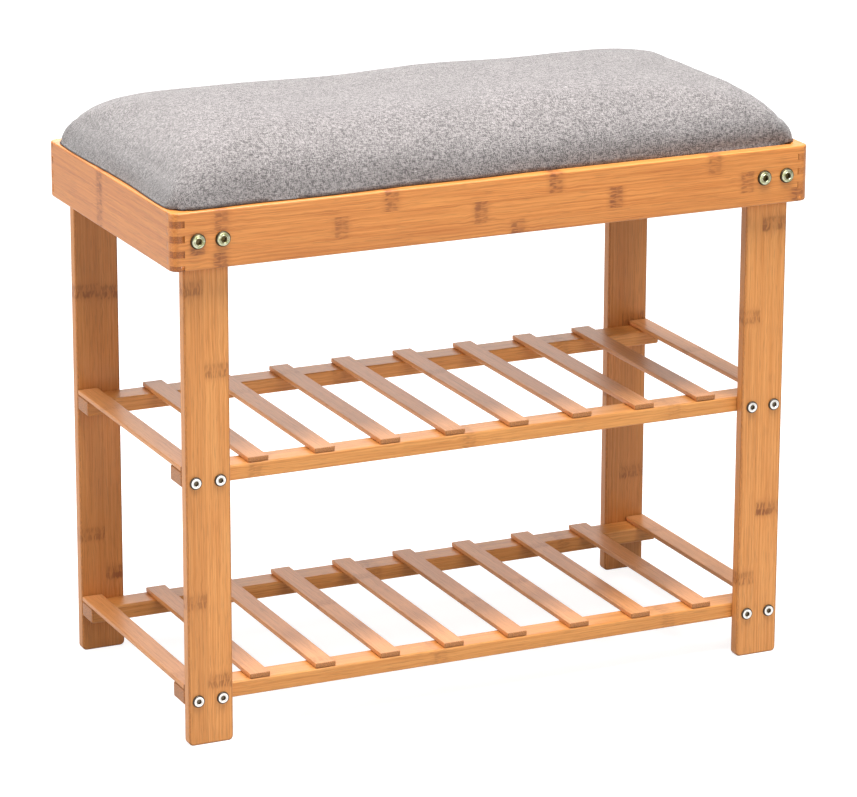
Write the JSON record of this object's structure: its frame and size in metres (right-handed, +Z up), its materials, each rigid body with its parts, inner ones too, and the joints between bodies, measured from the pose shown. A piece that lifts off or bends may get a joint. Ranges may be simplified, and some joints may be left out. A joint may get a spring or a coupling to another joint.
{
  "type": "entryway bench",
  "caption": "Bamboo entryway bench with a padded seat dropped into a finger-jointed tray, and slatted shoe shelves bolted between flat legs.",
  "frame": {"origin": "on the floor, under the middle of the bench", "axes": "+X along the bench's length to its right, -Y towards its front, +Z up"},
  "size_m": [0.6, 0.301, 0.5265],
  "materials": {
    "bamboo_tray": "satin lacquer over laminated bamboo, grain along each board",
    "bamboo_leg": "satin lacquer over laminated bamboo, grain upright",
    "bamboo_rail": "satin lacquer over laminated bamboo, grain along the rail",
    "bamboo_slat": "satin lacquer over thin bamboo strip",
    "zinc_bolt": "bright zinc plate with a faint yellow passivation",
    "plywood": "unfinished plywood",
    "foam": "soft upholstery foam",
    "grey_fabric": "heathered grey plain-weave upholstery fabric"
  },
  "bodies": {
    "bench_frame": {"leg_back_left": "bamboo_leg", "leg_back_right": "bamboo_leg", "leg_front_left": "bamboo_leg", "leg_front_right": "bamboo_leg", "lower_bolt_back_left_inner": "zinc_bolt", "lower_bolt_back_left_outer": "zinc_bolt", "lower_bolt_back_right_inner": "zinc_bolt", "lower_bolt_back_right_outer": "zinc_bolt", "lower_bolt_front_left_inner": "zinc_bolt", "lower_bolt_front_left_outer": "zinc_bolt", "lower_bolt_front_right_inner": "zinc_bolt", "lower_bolt_front_right_outer": "zinc_bolt", "lower_shelf_back_rail": "bamboo_rail", "lower_shelf_front_rail": "bamboo_rail", "lower_shelf_slat_01": "bamboo_slat", "lower_shelf_slat_02": "bamboo_slat", "lower_shelf_slat_03": "bamboo_slat", "lower_shelf_slat_04": "bamboo_slat", "lower_shelf_slat_05": "bamboo_slat", "lower_shelf_slat_06": "bamboo_slat", "lower_shelf_slat_07": "bamboo_slat", "lower_shelf_slat_08": "bamboo_slat", "lower_shelf_slat_09": "bamboo_slat", "lower_shelf_slat_10": "bamboo_slat", "seat_batten": "bamboo_rail", "tray_back_board": "bamboo_tray", "tray_bolt_back_left_inner": "zinc_bolt", "tray_bolt_back_left_outer": "zinc_bolt", "tray_bolt_back_right_inner": "zinc_bolt", "tray_bolt_back_right_outer": "zinc_bolt", "tray_bolt_front_left_inner": "zinc_bolt", "tray_bolt_front_left_outer": "zinc_bolt", "tray_bolt_front_right_inner": "zinc_bolt", "tray_bolt_front_right_outer": "zinc_bolt", "tray_front_board": "bamboo_tray", "tray_left_board": "bamboo_tray", "tray_right_board": "bamboo_tray", "upper_bolt_back_left_inner": "zinc_bolt", "upper_bolt_back_left_outer": "zinc_bolt", "upper_bolt_back_right_inner": "zinc_bolt", "upper_bolt_back_right_outer": "zinc_bolt", "upper_bolt_front_left_inner": "zinc_bolt", "upper_bolt_front_left_outer": "zinc_bolt", "upper_bolt_front_right_inner": "zinc_bolt", "upper_bolt_front_right_outer": "zinc_bolt", "upper_shelf_back_rail": "bamboo_rail", "upper_shelf_front_rail": "bamboo_rail", "upper_shelf_slat_01": "bamboo_slat", "upper_shelf_slat_02": "bamboo_slat", "upper_shelf_slat_03": "bamboo_slat", "upper_shelf_slat_04": "bamboo_slat", "upper_shelf_slat_05": "bamboo_slat", "upper_shelf_slat_06": "bamboo_slat", "upper_shelf_slat_07": "bamboo_slat", "upper_shelf_slat_08": "bamboo_slat", "upper_shelf_slat_09": "bamboo_slat", "upper_shelf_slat_10": "bamboo_slat"},
    "seat_pad": {"seat_board": "plywood", "seat_foam": "foam", "seat_cover": "grey_fabric"}
  },
  "joints": [
    {"name": "seat_lift", "type": "slide", "parent": "bench_frame", "child": "seat_pad", "axis": [0, 0, 1], "range_m": [0, 0.12]}
  ]
}
